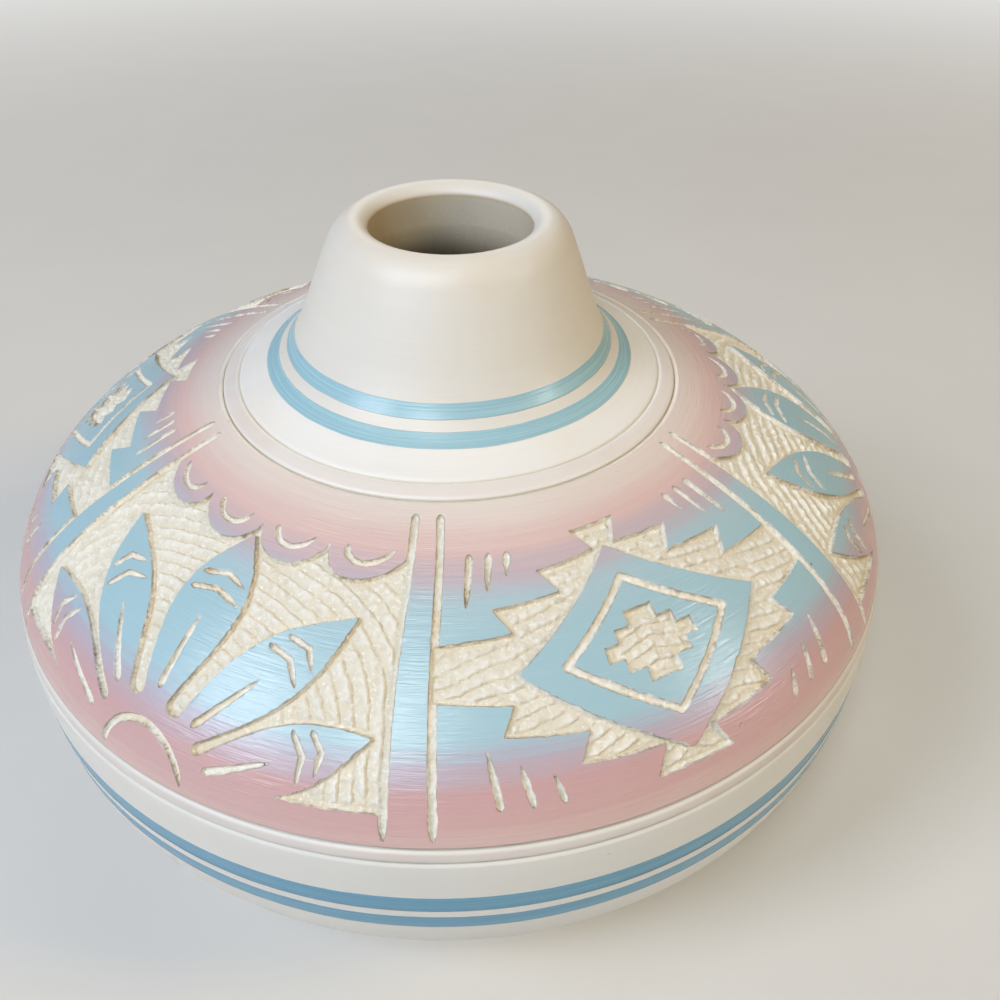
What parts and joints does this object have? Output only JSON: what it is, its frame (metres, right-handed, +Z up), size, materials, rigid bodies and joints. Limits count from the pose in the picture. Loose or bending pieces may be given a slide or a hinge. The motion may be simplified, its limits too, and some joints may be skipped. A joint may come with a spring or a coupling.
{
  "type": "pottery vase",
  "caption": "Squat wide pottery vase with a short tapering neck, a thick rounded lip, painted rings and a carved shoulder band on a low foot ring.",
  "frame": {"origin": "centre of the foot ring's rest, on the surface the vase stands on", "axes": "+Z up along the turning axis through the mouth; +X and +Y are level, and -Y is the side the picture shows, where a fan panel on the left and a diamond panel on the right meet"},
  "size_m": [0.25, 0.25, 0.168],
  "materials": {
    "bare_clay": "matte bare fired clay",
    "bowl_slip": "satin off-white slip with two sky blue stripes",
    "carved_slip": "satin rose and sky blue slip, carved through to matte cream clay",
    "collar_slip": "satin ivory slip with two sky blue rings",
    "rim_slip": "satin ivory slip"
  },
  "bodies": {
    "root": {"foot_ring": "bare_clay", "lower_bowl": "bowl_slip", "shoulder_shell": "carved_slip", "neck_collar": "collar_slip", "rim_ring": "rim_slip"}
  },
  "joints": []
}
